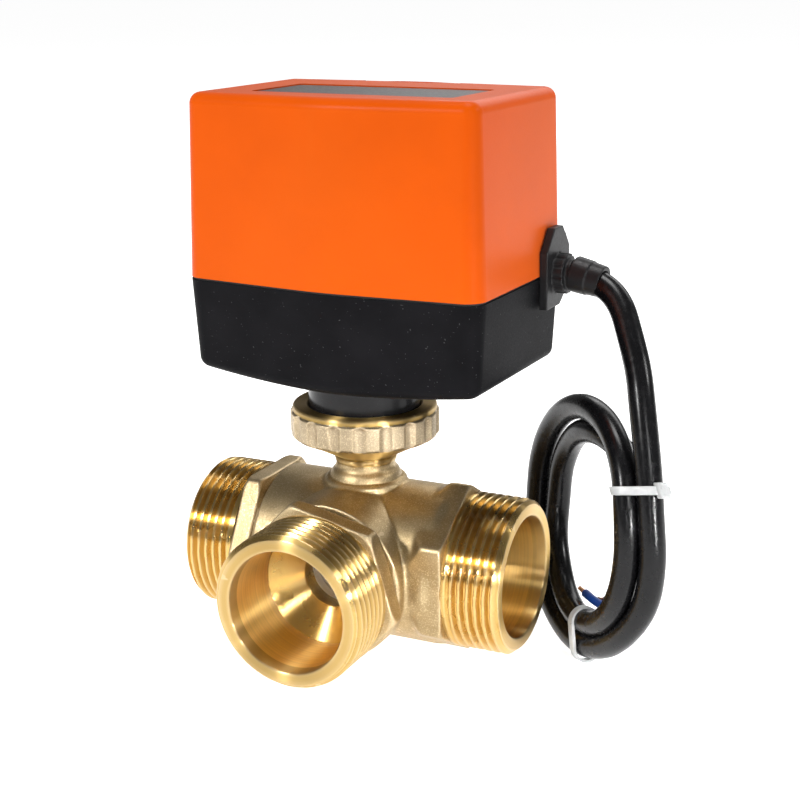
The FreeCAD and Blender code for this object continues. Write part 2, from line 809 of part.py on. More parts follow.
def make_cable_run():
    path = rounded_path(route)
    way = (V(*route[1]) - V(*route[0])).normalize()
    section = Part.Wire(Part.makeCircle(cable_r, V(*route[0]), way))
    tube = path.makePipeShell([section], True, True)
    expected = math.pi * cable_r ** 2 * path.Length
    print("cable run %.1f mm, volume ratio %.4f" % (path.Length, tube.Volume / expected))
    return tube


def stand_coil(shape):
    """Stand a shape drawn round the Z axis upright as the coil stands."""
    stood = shape.copy()
    stood.rotate(V(0, 0, 0), V(1, 0, 0), 90)
    stood.rotate(V(0, 0, 0), V(0, 0, 1), math.degrees(coil_yaw))
    stood.translate(V(coil_centre[0], coil_centre[1], coil_height()))
    return stood


def coil_height():
    return cable_r + coil_radius + coil_lift - axis_height


def make_cable_coil():
    """Outer shape of the tied turns: one ring, standing on edge."""
    r_out = coil_radius + cable_r
    r_in = inner_turn_radius - cable_r
    low = -coil_back
    high = -coil_front
    outer_turn = r_out - 1.6 * cable_r
    blank = turned_z([(r_in, low + 2), (r_in + 2, low), (r_out - 3, low), (r_out, low + 3), (r_out, high - 3),
                      (r_out - 3, high), (outer_turn, high), (r_in, high - inner_turn_back)])
    return stand_coil(blank)


def make_tie(bearing_deg, head_outside):
    """Cable tie round the coil's section; bearing from the coil's right, going down."""
    r_out = coil_radius + cable_r + 0.05
    r_in = inner_turn_radius - cable_r - 0.05
    low = -coil_back - 0.05
    high = -coil_front + 0.05
    half = tie_width / 2
    loop = box((r_in - tie_thick, r_out + tie_thick), (-half, half), (low - tie_thick, high + tie_thick))
    loop = loop.makeFillet(1.0, [e for e in loop.Edges if e.BoundBox.YLength > 3])
    loop = loop.cut(box((r_in, r_out), (-half - 1, half + 1), (low, high)))
    if head_outside:
        head = box((r_out, r_out + 3.4), (-2.6, 2.6), (high - 4.8, high))
    else:
        middle = (r_in + r_out) / 2
        head = box((middle - 2.4, middle + 2.4), (-2.6, 2.6), (low - 3.4, low))
    return stand_coil(about_z(join([loop, head]), -bearing_deg))


def conductor(points, r):
    path = rounded_path(points)
    way = (V(*points[1]) - V(*points[0])).normalize()
    section = Part.Wire(Part.makeCircle(r, V(*points[0]), way))
    return path.makePipeShell([section], True, True)


def coil_point(bearing_deg, radius, off):
    """Point at a bearing from the coil's right, going down, off the coil's middle plane."""
    a = math.radians(bearing_deg)
    s = radius * math.cos(a)
    x = coil_centre[0] + s * math.cos(coil_yaw) - off * math.sin(coil_yaw)
    y = coil_centre[1] + s * math.sin(coil_yaw) + off * math.cos(coil_yaw)
    return (x, y, coil_height() - radius * math.sin(a))


wire_turns = {"conductor_blue": -1.2, "conductor_brown": 1.4, "conductor_black": 4.0}


def wire_points(off):
    """Route of one conductor from the cable's end, curling up inside the coil."""
    return [coil_point(b, r, off) for b, r in ((80, 21.7), (97, 19.6), (116, 18.4), (133, 15.8))]


def make_wire(off):
    return conductor(wire_points(off), wire_r)


def make_wire_tips():
    """Stripped copper ends of the conductors."""
    tips = []
    for off in wire_turns.values():
        points = wire_points(off)
        end = V(*points[-1])
        way = (end - V(*points[-2])).normalize()
        tips.append(Part.makeCylinder(0.55, 3.0, end, way))
    return Part.makeCompound(tips)


# ---- assembly ----

axis_height = hex_corner_r


def in_turned_frame(shape):
    """The actuator as clamped, turned a little on the neck."""
    return about_z(shape, turn_deg)


cover_shape = in_turned_frame(make_cover())
forward_shift = (port_length - cover_shape.BoundBox.YMax) / 2


def place(shape):
    """From the port axes' crossing to the part's own frame."""
    moved = shape.copy()
    moved.translate(V(0, forward_shift, axis_height))
    return moved


cable_run_shape = make_cable_run()
gland_shape = in_turned_frame(make_gland())
relief_shape = in_turned_frame(make_strain_relief()).cut(gland_shape).cut(cable_run_shape)

valve_pieces = {
    "valve_body": make_valve_body(),
    "left_connector": point_left(make_connector(30)),
    "front_connector": point_front(make_connector(43)),
    "left_connector_seal": point_left(make_seal()),
    "front_connector_seal": point_front(make_seal()),
    "ball": make_ball(),
    "right_seat": make_seat(),
    "left_seat": point_left(make_seat()),
    "front_seat": point_front(make_seat()),
    "stem": make_stem(),
    "stem_o_rings": make_o_rings(),
    "thrust_washer": make_thrust_washer(),
    "stem_packing": make_packing(),
    "packing_nut": make_packing_nut(),
    "nut_retaining_ring": make_nut_ring(),
    "union_nut": make_union_nut(),
    "cable_run": cable_run_shape,
    "cable_coil": make_cable_coil(),
    "cable_tie_upper": make_tie(-27, True),
    "cable_tie_lower": make_tie(104, False),
    "conductor_tips": make_wire_tips(),
    "cable_gland": gland_shape,
    "strain_relief": relief_shape,
    "output_shaft": make_output_shaft(),
}
for wire_name, wire_off in wire_turns.items():
    valve_pieces[wire_name] = make_wire(wire_off)

base_shape = make_base()
actuator_pieces = {
    "actuator_base": base_shape,
    "base_collar": make_collar(base_shape),
    "cover_gasket": make_gasket(),
    "label_panel": make_label(),
    "release_tab": make_release_tab(),
    "cover_screws": make_cover_screws(),
    "output_bush": make_output_bush(),
    "lower_gear_plate": make_gear_plate(lower_plate, shaft_r + fit),
    "upper_gear_plate": make_upper_plate(),
    "plate_pillars": make_plate_pillars(),
    "board_pillars": make_board_pillars(),
    "plate_screws": make_plate_screws(),
    "motor": make_motor(),
    "motor_pinion": make_motor_pinion(),
    "idler_gear": make_idler(),
    "idler_axle": make_idler_axle(),
    "output_gear": make_output_gear(),
    "switch_cam": make_cam(),
    "front_limit_switch": make_switch(-1),
    "back_limit_switch": make_switch(1),
    "front_switch_lever": make_lever(-1),
    "back_switch_lever": make_lever(1),
    "circuit_board": make_board(),
    "terminal_block": make_terminal_block(),
    "motor_capacitor": make_capacitor(),
    "relay": make_relay(),
}

pieces = dict(valve_pieces)
pieces["actuator_cover"] = cover_shape
for piece_name, piece_shape in actuator_pieces.items():
    pieces[piece_name] = in_turned_frame(piece_shape)

os.makedirs("parts", exist_ok=True)
for name, shape in pieces.items():
    place(shape).exportStep("parts/" + name + ".step")
print("%d pieces, shift %.2f mm, height %.2f mm" % (len(pieces), forward_shift, cover_top + axis_height))
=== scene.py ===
import json
import math

import bmesh
import bpy
from mathutils import Matrix, Vector


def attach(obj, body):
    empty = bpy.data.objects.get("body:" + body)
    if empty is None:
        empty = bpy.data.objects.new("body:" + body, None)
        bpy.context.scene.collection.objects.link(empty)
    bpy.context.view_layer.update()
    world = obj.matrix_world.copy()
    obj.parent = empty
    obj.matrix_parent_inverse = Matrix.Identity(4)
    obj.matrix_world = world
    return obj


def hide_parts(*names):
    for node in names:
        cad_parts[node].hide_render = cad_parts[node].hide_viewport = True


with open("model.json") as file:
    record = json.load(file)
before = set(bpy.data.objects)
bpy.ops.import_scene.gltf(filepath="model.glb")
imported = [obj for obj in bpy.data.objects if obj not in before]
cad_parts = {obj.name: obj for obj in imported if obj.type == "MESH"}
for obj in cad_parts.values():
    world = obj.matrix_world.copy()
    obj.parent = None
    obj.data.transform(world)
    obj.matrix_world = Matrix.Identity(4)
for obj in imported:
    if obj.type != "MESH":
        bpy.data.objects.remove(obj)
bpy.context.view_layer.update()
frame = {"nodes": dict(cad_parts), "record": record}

MM = 0.001

# Spread of the narrow lights that reach into the bores.
BEAM = math.radians(20)

# The port axes cross here; the record's right port says how high and how far back.
right_port = next(m for m in frame["record"]["mounts"] if m["name"] == "right_port_thread")
CROSSING = Vector((0, right_port["pos_m"][1], right_port["pos_m"][2]))


def at(x, y, z):
    """Point in the frame, in metres, from millimetres measured from the port axes' crossing."""
    return CROSSING + Vector((x, y, z)) * MM


# ---- camera ----

def make_camera():
    """Camera that looks at a point aim_right and aim_up millimetres across its own view from the crossing."""
    azimuth = math.radians(25.12)
    elevation = math.radians(15.77)
    roll = math.radians(-0.51)
    distance = 427.91
    aim_right = 11.90
    aim_up = 43.82
    back = Vector((math.sin(azimuth) * math.cos(elevation), -math.cos(azimuth) * math.cos(elevation),
                   math.sin(elevation)))
    level = Vector((math.cos(azimuth), math.sin(azimuth), 0))
    upright = back.cross(level)
    right = level * math.cos(roll) + upright * math.sin(roll)
    up = upright * math.cos(roll) - level * math.sin(roll)
    place = at(*(right * aim_right + up * aim_up + back * distance))
    data = bpy.data.cameras.new("camera")
    data.sensor_width = 36
    data.lens = 68.96
    data.shift_x = -0.0126
    data.shift_y = -0.0079
    data.clip_start = 0.01
    data.clip_end = 50
    camera = bpy.data.objects.new("camera", data)
    bpy.context.scene.collection.objects.link(camera)
    camera.matrix_world = Matrix.Translation(place) @ Matrix((right, up, back)).transposed().to_4x4()
    bpy.context.scene.camera = camera


# ---- materials ----

class Shader:
    """A material under construction: short calls for the nodes that the finishes below use."""

    def __init__(self, name, colour=(0.5, 0.5, 0.5), metallic=0.0, roughness=0.5):
        self.material = bpy.data.materials.new(name)
        self.material.use_nodes = True
        self.tree = self.material.node_tree
        self.principled = self.tree.nodes["Principled BSDF"]
        self.set("Base Color", (*colour, 1))
        self.set("Metallic", metallic)
        self.set("Roughness", roughness)
        self.place = self.node("ShaderNodeTexCoord").outputs["Object"]

    def set(self, socket, value):
        self.principled.inputs[socket].default_value = value

    def node(self, kind, **settings):
        made = self.tree.nodes.new(kind)
        for key, value in settings.items():
            setattr(made, key, value)
        return made

    def link(self, output, target):
        self.tree.links.new(output, target)

    def feed(self, output, socket):
        self.link(output, self.principled.inputs[socket])

    def noise(self, scale, detail=3.0, roughness=0.55, stretch=None):
        """Noise in space; scale is in cycles per metre."""
        made = self.node("ShaderNodeTexNoise")
        made.inputs["Scale"].default_value = scale
        made.inputs["Detail"].default_value = detail
        made.inputs["Roughness"].default_value = roughness
        source = self.place
        if stretch:
            mapping = self.node("ShaderNodeMapping")
            mapping.inputs["Scale"].default_value = stretch
            self.link(source, mapping.inputs["Vector"])
            source = mapping.outputs["Vector"]
        self.link(source, made.inputs["Vector"])
        return made.outputs["Fac"]

    def math(self, operation, a, b=0.0):
        """One of Blender's math operations, on sources or numbers."""
        made = self.node("ShaderNodeMath", operation=operation)
        for socket, value in zip(made.inputs, (a, b)):
            if isinstance(value, (int, float)):
                socket.default_value = value
            else:
                self.link(value, socket)
        return made.outputs[0]

    def ramp(self, source, stops):
        """Colours or grey values along a source from 0 to 1."""
        made = self.node("ShaderNodeValToRGB")
        elements = made.color_ramp.elements
        while len(elements) < len(stops):
            elements.new(0.5)
        for element, (place, value) in zip(elements, stops):
            element.position = place
            colour = (value, value, value) if isinstance(value, (int, float)) else value
            element.color = (*colour, 1)
        self.link(source, made.inputs["Fac"])
        return made.outputs["Color"]

    def spread(self, source, low, high):
        """A source from 0 to 1 spread over low to high."""
        made = self.node("ShaderNodeMapRange")
        made.inputs["To Min"].default_value = low
        made.inputs["To Max"].default_value = high
        made.inputs["From Min"].default_value = 0.3
        made.inputs["From Max"].default_value = 0.7
        self.link(source, made.inputs["Value"])
        return made.outputs["Result"]

    def mix(self, factor, first, second):
        """Second colour over the first, by a factor from 0 to 1."""
        made = self.node("ShaderNodeMix", data_type="RGBA")
        for socket, value in ((0, factor), (6, first), (7, second)):
            if isinstance(value, (int, float)):
                made.inputs[socket].default_value = value
            elif isinstance(value, tuple):
                made.inputs[socket].default_value = (*value, 1)
            else:
                self.link(value, made.inputs[socket])
        return made.outputs[2]

    def worn(self):
        """0 in hollows and on flats, up to 1 on proud edges."""
        geometry = self.node("ShaderNodeNewGeometry")
        return self.ramp(geometry.outputs["Pointiness"], [(0.50, 0.0), (0.56, 1.0)])

    def bump(self, source, strength, depth):
        """Surface relief; depth is in metres. Calls stack."""
        made = self.node("ShaderNodeBump")
        made.inputs["Strength"].default_value = strength
        made.inputs["Distance"].default_value = depth
        self.link(source, made.inputs["Height"])
        normal = self.principled.inputs["Normal"]
        if normal.is_linked:
            self.link(normal.links[0].from_socket, made.inputs["Normal"])
        self.link(made.outputs["Normal"], normal)


BRASS_DARK = (0.50, 0.325, 0.13)
BRASS = (0.66, 0.47, 0.23)
BRASS_PALE = (0.84, 0.68, 0.44)
TURNED_DEEP = (0.64, 0.42, 0.13)
TURNED_BRIGHT = (0.74, 0.505, 0.17)


def cast_brass(name="cast_brass", pale=False):
    """Bead-blasted casting: fine sparkling grain, slightly uneven colour, edges rubbed bright."""
    low = (0.30, 0.235, 0.15) if pale else (0.36, 0.265, 0.135)
    high = (0.45, 0.36, 0.24) if pale else (0.50, 0.38, 0.21)
    s = Shader(name, BRASS, 1.0, 0.46)
    cloud = s.noise(90, 4)
    grain = s.noise(2600, 2, 0.7)
    colour = s.ramp(cloud, [(0.35, low), (0.65, high)])
    glint = s.ramp(grain, [(0.52, 0.0), (0.66, 1.0)])
    colour = s.mix(s.math("MULTIPLY", glint, 0.45), colour, BRASS_PALE)
    colour = s.mix(s.math("MULTIPLY", s.worn(), 0.45), colour, BRASS_PALE)
    s.feed(colour, "Base Color")
    s.feed(s.spread(grain, 0.54, 0.34), "Roughness")
    s.bump(s.noise(420, 3), 0.35, 0.00012)
    s.bump(grain, 0.75, 0.00007)
    return s.material


def machined_brass(name, axis, centre, roughness=0.24, marks=1.0, painted_brightness=1.0):
    """Turned brass: fine rings about an axis (0, 1 or 2 for X, Y or Z) through a centre.

    marks is how deep the rings are, 1 as a rule. The last argument scales the whole colour up or down,
    painted light or painted shade for how much lamp light falls on the piece, 1 as a rule.
    """
    s = Shader(name, BRASS, 1.0, roughness)
    offset = s.node("ShaderNodeVectorMath", operation="SUBTRACT")
    s.link(s.place, offset.inputs[0])
    offset.inputs[1].default_value = centre
    parts = s.node("ShaderNodeSeparateXYZ")
    s.link(offset.outputs[0], parts.inputs[0])
    along = parts.outputs[axis]
    across = [parts.outputs[i] for i in range(3) if i != axis]
    radius = s.math("SQRT", s.math("ADD", s.math("MULTIPLY", across[0], across[0]),
                                   s.math("MULTIPLY", across[1], across[1])))
    path = s.math("ADD", along, s.math("MULTIPLY", radius, 0.73))
    fine = s.node("ShaderNodeTexNoise", noise_dimensions="1D")
    fine.inputs["Scale"].default_value = 9000
    fine.inputs["Detail"].default_value = 2
    coarse = s.node("ShaderNodeTexNoise", noise_dimensions="1D")
    coarse.inputs["Scale"].default_value = 1300
    coarse.inputs["Detail"].default_value = 3
    s.link(path, fine.inputs["W"])
    s.link(path, coarse.inputs["W"])
    cloud = s.noise(70, 4)
    # Whole colour scaled: above 1 is painted light, below 1 is painted shade.
    deep = tuple(painted_brightness * part for part in TURNED_DEEP)
    bright = tuple(painted_brightness * part for part in TURNED_BRIGHT)
    colour = s.ramp(cloud, [(0.33, deep), (0.67, bright)])
    colour = s.mix(s.spread(coarse.outputs["Fac"], 0.0, 0.30), colour, BRASS_DARK)
    colour = s.mix(s.math("MULTIPLY", s.worn(), 0.5), colour, BRASS_PALE)
    s.feed(colour, "Base Color")
    s.feed(s.spread(cloud, roughness - 0.03, roughness + 0.07), "Roughness")
    s.bump(coarse.outputs["Fac"], 0.3 * marks, 0.00001)
    s.bump(fine.outputs["Fac"], 0.3 * marks, 0.000001)
    round_the_axis = s.node("ShaderNodeTangent", direction_type="RADIAL", axis="XYZ"[axis])
    s.feed(round_the_axis.outputs["Tangent"], "Tangent")
    s.set("Anisotropic", 0.98)
    s.set("Anisotropic Rotation", 0.25)
    return s.material


def moulded(name, low, high, roughness, grain_depth=0.00002, scale=2600, worn_to=None, shine=0.4, sheen=0.0):
    """Moulded plastic with a fine spark texture. Its edges turn to worn_to, where that is given."""
    s = Shader(name, high, 0.0, roughness)
    s.set("Specular IOR Level", shine)
    s.set("Sheen Weight", sheen)
    s.set("Sheen Roughness", 0.35)
    cloud = s.noise(45, 3)
    grain = s.noise(scale, 3, 0.6)
    colour = s.ramp(cloud, [(0.3, low), (0.7, high)])
    if worn_to:
        colour = s.mix(s.math("MULTIPLY", s.worn(), 0.35), colour, worn_to)
    s.feed(colour, "Base Color")
    s.feed(s.spread(grain, roughness - 0.05, roughness + 0.06), "Roughness")
    s.bump(grain, 0.6, grain_depth)
    s.bump(s.noise(28, 2), 0.25, 0.00015)
    return s.material


def dusty_black():
    """Dark moulding with a few pale specks of dust caught in its texture."""
    s = Shader("base_plastic", (0.018, 0.018, 0.02), 0.0, 0.46)
    grain = s.noise(2400, 3, 0.65)
    cloud = s.noise(60, 3)
    colour = s.ramp(cloud, [(0.3, (0.0045, 0.0045, 0.0052)), (0.7, (0.008, 0.0078, 0.009))])
    specks = s.noise(2100, 0, 0.5)
    dust = s.ramp(specks, [(0.80, 0.0), (0.84, 1.0)])
    colour = s.mix(s.math("MULTIPLY", dust, 0.2), colour, (0.20, 0.20, 0.20))
    s.set("Specular IOR Level", 0.03)
    s.feed(colour, "Base Color")
    s.feed(s.spread(grain, 0.40, 0.54), "Roughness")
    s.bump(grain, 0.7, 0.000035)
    s.bump(s.noise(30, 2), 0.25, 0.0002)
    return s.material


def cable_jacket():
    """Soft black jacket: smooth sheen on a slightly uneven surface."""
    s = Shader("cable_jacket", (0.012, 0.012, 0.013), 0.0, 0.33)
    cloud = s.noise(120, 3)
    colour = s.ramp(cloud, [(0.3, (0.002, 0.002, 0.0024)), (0.7, (0.0045, 0.0044, 0.005))])
    s.feed(colour, "Base Color")
    s.set("Specular IOR Level", 0.25)
    s.feed(s.spread(s.noise(500, 4), 0.19, 0.31), "Roughness")
    s.bump(s.noise(160, 2), 0.3, 0.00012)
    s.bump(s.noise(2200, 3), 0.3, 0.00002)
    return s.material


def nylon():
    """Milky tie plastic that lets a little light in."""
    s = Shader("tie_nylon", (0.72, 0.74, 0.74), 0.0, 0.32)
    cloud = s.noise(260, 3)
    s.feed(s.ramp(cloud, [(0.3, (0.40, 0.41, 0.41)), (0.7, (0.54, 0.55, 0.55))]), "Base Color")
    s.feed(s.spread(s.noise(1200, 3), 0.26, 0.42), "Roughness")
    s.set("Subsurface Weight", 0.35)
    s.set("Subsurface Scale", 0.0008)
    s.set("Subsurface Radius", (1.0, 1.0, 1.0))
    s.bump(s.noise(800, 2), 0.3, 0.00004)
    return s.material


def metal(name, low, high, roughness, stretch=(1, 1, 1)):
    """Bright metal with fine marks, drawn out into lines where stretch is uneven."""
    s = Shader(name, high, 1.0, roughness)
    s.feed(s.ramp(s.noise(110, 4), [(0.3, low), (0.7, high)]), "Base Color")
    lines = s.noise(2600, 3, 0.6, stretch)
    s.feed(s.spread(lines, roughness - 0.05, roughness + 0.08), "Roughness")
    s.bump(lines, 0.5, 0.00001)
    return s.material


def label_finish():
    """Dark printed film under a clear satin laminate, left blank."""
    s = Shader("label_film", (0.10, 0.10, 0.105), 0.0, 0.34)
    s.feed(s.ramp(s.noise(150, 4), [(0.3, (0.05, 0.05, 0.053)), (0.7, (0.07, 0.069, 0.069))]), "Base Color")
    s.feed(s.spread(s.noise(1400, 3), 0.28, 0.42), "Roughness")
    s.set("Coat Weight", 0.3)
    s.set("Coat Roughness", 0.2)
    s.bump(s.noise(3200, 3), 0.5, 0.000015)
    return s.material


def board_finish():
    """Green board with a grid of paler tracks under its coating."""
    s = Shader("board", (0.03, 0.16, 0.07), 0.0, 0.35)
    tracks = s.node("ShaderNodeTexBrick")
    tracks.inputs["Scale"].default_value = 220
    tracks.inputs["Color1"].default_value = (0.03, 0.17, 0.07, 1)
    tracks.inputs["Color2"].default_value = (0.02, 0.12, 0.05, 1)
    tracks.inputs["Mortar"].default_value = (0.10, 0.28, 0.10, 1)
    tracks.inputs["Mortar Size"].default_value = 0.06
    s.link(s.place, tracks.inputs["Vector"])
    s.feed(tracks.outputs["Color"], "Base Color")
    s.feed(s.spread(s.noise(900, 3), 0.28, 0.42), "Roughness")
    s.bump(tracks.outputs["Fac"], 0.4, 0.00004)
    return s.material


# ---- mesh helpers ----

def add_object(name, mesh):
    made = bpy.data.objects.new(name, mesh)
    bpy.context.scene.collection.objects.link(made)
    return made


def grid_mesh(name, rows, closed_rows=False, finish_of=None):
    """Mesh from rings of points: each row is a closed ring, and closed_rows joins the last to the first.

    finish_of(i) gives the material number of the faces after row i.
    """
    count = len(rows[0])
    vertices = [p for row in rows for p in row]
    faces = []
    slots = []
    last = len(rows) if closed_rows else len(rows) - 1
    for i in range(last):
        a = i * count
        b = ((i + 1) % len(rows)) * count
        for j in range(count):
            k = (j + 1) % count
            faces.append((a + j, a + k, b + k, b + j))
            slots.append(finish_of(i) if finish_of else 0)
    mesh = bpy.data.meshes.new(name)
    mesh.from_pydata(vertices, [], faces)
    mesh.polygons.foreach_set("material_index", slots)
    mesh.polygons.foreach_set("use_smooth", [True] * len(faces))
    mesh.update()
    return mesh


def fix_normals(mesh):
    bm = bmesh.new()
    bm.from_mesh(mesh)
    bmesh.ops.recalc_face_normals(bm, faces=bm.faces)
    bm.to_mesh(mesh)
    bm.free()
    mesh.update()


def finish_piece(piece, body, slot, materials, *nodes):
    """Materials, body and the CAD nodes that the piece stands for. slot is not used.

    Clearing the materials sets every face back to the first one, so the faces' numbers are put back after.
    """
    several = len(materials) > 1
    slots = [face.material_index for face in piece.data.polygons] if several else []
    piece.data.materials.clear()
    for material in materials:
        piece.data.materials.append(material)
    if several:
        piece.data.polygons.foreach_set("material_index", slots)
    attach(piece, body)
    if nodes:
        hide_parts(*nodes)
    return piece


def softened(node, name, voxel, rounds, cut=None):
    """Copy of a CAD node with its edges rounded off evenly, as a casting or moulding has them.

    cut is a plane (point, normal); what lies beyond it is taken off.
    """
    mesh = frame["nodes"][node].data.copy()
    bm = bmesh.new()
    bm.from_mesh(mesh)
    bmesh.ops.remove_doubles(bm, verts=bm.verts, dist=1e-6)
    if cut:
        point, normal = cut
        everything = bm.verts[:] + bm.edges[:] + bm.faces[:]
        made = bmesh.ops.bisect_plane(bm, geom=everything, plane_co=point, plane_no=normal, clear_outer=True)
        rim = [e for e in made["geom_cut"] if isinstance(e, bmesh.types.BMEdge)]
        bmesh.ops.triangle_fill(bm, use_beauty=True, edges=rim)
    bm.to_mesh(mesh)
    bm.free()
    piece = add_object(name, mesh)
    remesh = piece.modifiers.new("remesh", "REMESH")
    remesh.mode = "VOXEL"
    remesh.voxel_size = voxel
    smooth = piece.modifiers.new("smooth", "SMOOTH")
    smooth.factor = 0.5
    smooth.iterations = rounds
    apply_modifiers(piece)
    piece.data.polygons.foreach_set("use_smooth", [True] * len(piece.data.polygons))
    return piece


def paint(node, material):
    """Gives a CAD node, which keeps its shape, one material."""
    mesh = frame["nodes"][node].data
    mesh.materials.clear()
    mesh.materials.append(material)


def apply_modifiers(piece):
    graph = bpy.context.evaluated_depsgraph_get()
    mesh = bpy.data.meshes.new_from_object(piece.evaluated_get(graph))
    piece.modifiers.clear()
    piece.data = mesh


def assign_slots(piece, chooser):
    """Material number of each face from its middle, given from the port axes' crossing in millimetres."""
    for face in piece.data.polygons:
        face.material_index = chooser((face.center - CROSSING) / MM)


# ---- cable ----

# Millimetres from the port axes' crossing, and degrees. The coil stands on edge, just clear of the floor.
CABLE_R = 3.4
COIL_LIFT = 0.5
COIL_MIDDLE = Vector((61.8, 11.4))
COIL_YAW = math.radians(-43)
COIL_ALONG = Vector((math.cos(COIL_YAW), math.sin(COIL_YAW)))
COIL_OUT = Vector((-math.sin(COIL_YAW), math.cos(COIL_YAW)))
COIL_R = 32.8
COIL_HEIGHT = CABLE_R + COIL_R + COIL_LIFT - CROSSING.z / MM
COIL_START = -3
COIL_END = 762
COIL_STEP = 22.5

# Radius of the turns, and how far they lie behind (+) or in front (-) of the coil's plane, by bearing
# from the coil's right side, going down, in degrees.
TURN_SHAPE = [
    (-40, 36.0, 0.0), (-30, 34.2, -0.3), (-22, 32.9, -0.7), (15, 32.5, -1.0), (45, 31.8, -3.0),
    (90, 32.6, -4.6), (125, 32.8, -3.2), (180, 32.8, 0.0), (250, 32.8, 0.0), (300, 32.4, -1.6),
    (320, 30.6, -3.8), (340, 28.2, -5.0), (375, 26.8, -5.5), (410, 26.0, -5.4), (450, 25.6, -4.3),
    (495, 25.0, -0.9), (540, 25.6, 3.0), (580, 25.7, 2.7), (612, 25.8, 1.4), (640, 26.1, 1.8),
    (665, 25.4, 4.2), (690, 24.2, 4.4), (720, 22.8, 3.6), (765, 21.4, 2.4),
]


def turn_state(bearing):
    """Radius and offset of the cable at a bearing, eased between the shape's stations."""
    for (b0, r0, n0), (b1, r1, n1) in zip(TURN_SHAPE, TURN_SHAPE[1:]):
        if bearing <= b1:
            break
    t = min(max((bearing - b0) / (b1 - b0), 0), 1)
    t = t * t * (3 - 2 * t)
    return r0 + (r1 - r0) * t, n0 + (n1 - n0) * t


def coil_point(bearing, radius, off):
    """Point at a bearing and radius, off millimetres behind the coil's plane."""
    a = math.radians(bearing)
    flat = COIL_MIDDLE + COIL_ALONG * (radius * math.cos(a)) + COIL_OUT * off
    return at(flat.x, flat.y, COIL_HEIGHT - radius * math.sin(a))


# From the sleeve down to the first turn, the same points as the CAD route.
FREE_ROUTE = [
    (53.8, 16.6, 79.7),
    (60.2, 15.8, 78.5),
    (67.2, 12.8, 74.3),
    (72.1, 6.9, 65.9),
    (75.6, 2.5, 59.2),
    (77.8, -1.3, 52.4),
    (82.0, -7.4, 36.0),
    (83.6, -9.9, 25.0),
]


def spline_object(name, points, radius):
    """Round tube along a smooth curve with these control points."""
    curve = bpy.data.curves.new(name, "CURVE")
    curve.dimensions = "3D"
    spline = curve.splines.new("NURBS")
    spline.points.add(len(points) - 1)
    for made, point in zip(spline.points, points):
        made.co = (*point, 1)
    spline.order_u = 3
    spline.use_endpoint_u = True
    spline.resolution_u = 12
    curve.bevel_depth = radius
    curve.bevel_resolution = 8
    curve.use_fill_caps = True
    made = bpy.data.objects.new(name, curve)
    bpy.context.scene.collection.objects.link(made)
    return made


def coil_points():
    """The turns' control points, 16 to a turn."""
    points = []
    bearing = COIL_START
    while bearing <= COIL_END:
        points.append(coil_point(bearing, *turn_state(bearing)))
        bearing += COIL_STEP
    return points


def make_cable():
    points = [at(*p) for p in FREE_ROUTE] + coil_points()
    cable = spline_object("power_cable", points, CABLE_R * MM)
    return finish_piece(cable, "valve", "cable_jacket", [cable_jacket()], "cable_run", "cable_coil")


def hull_outline(circles, grow, count=96):
    """Closed outline of a band stretched round circles (u, v, r), grown by a gap."""
    outline = []
    for i in range(count):
        a = 2 * math.pi * i / count
        u, v = math.cos(a), math.sin(a)
        best = max(circles, key=lambda c: c[0] * u + c[1] * v + c[2])
        outline.append((best[0] + (best[2] + grow) * u, best[1] + (best[2] + grow) * v))
    return outline


def make_tie(name, node, bearing, turns, lean, head_at, tail, material):
    """Toothed band round the turns at a bearing, with its square head and cut tail.

    lean is how far along the cable the band moves per millimetre outwards and backwards.
    head_at is the head's radius and offset; tail is its shift from the head and its length.
    """
    thick = 0.75
    half = 1.2
    gap = 0.10
    tooth = 0.22
    circles = []
    for turn in turns:
        radius, off = turn_state(bearing + 360 * turn)
        circles.append((radius - 0.1, off, CABLE_R))
    middle = (sum(c[0] for c in circles) / len(circles), sum(c[1] for c in circles) / len(circles))

    def leaning(u, v, side):
        return tie_point(bearing, u, v, side + lean[0] * (u - middle[0]) + lean[1] * (v - middle[1]))

    inner = hull_outline(circles, gap)
    outer = hull_outline(circles, gap + thick)
    rows = []
    profile = [
        (inner, -half), (inner, -half + 0.1), (outer, -half + 0.1), (outer, -half + 0.35),
        (outer, -half + 0.5), (outer, half - 0.5), (outer, half - 0.35), (outer, half - 0.1),
        (inner, half - 0.1), (inner, half),
    ]
    for k, (outline, side) in enumerate(profile):
        ring = []
        for i, (u, v) in enumerate(outline):
            sink = tooth if k in (4, 5) and i % 2 else 0.0
            du, dv = u - middle[0], v - middle[1]
            length = math.hypot(du, dv)
            ring.append(leaning(u - du / length * sink, v - dv / length * sink, side))
        rows.append(ring)
    band = add_object(name, grid_mesh(name, rows, closed_rows=True))
    head = rounded_block(name + "_head", leaning, head_at, (2.4, 2.6, 4.2), 0.45)
    pawl = rounded_block(name + "_pawl", leaning, (head_at[0] + 0.2, head_at[1] - 0.2), (2.4, 1.3, 2.0), 0.3)
    tail_at = (head_at[0] + tail[0], head_at[1] + tail[1])
    end = rounded_block(name + "_tail", leaning, tail_at, (tail[2], 0.7, 2.3), 0.25)
    join_into(band, [head, pawl, end])
    return finish_piece(band, "valve", "tie_white", [material], node)


def tie_point(bearing, radius, off, side):
    """Point near the coil at a bearing, side millimetres further along the cable."""
    a = math.radians(bearing)
    up = Vector((0, 0, 1))
    along = Vector((COIL_ALONG.x, COIL_ALONG.y, 0))
    tangent = -along * math.sin(a) - up * math.cos(a)
    return coil_point(bearing, radius, off) + tangent * side * MM


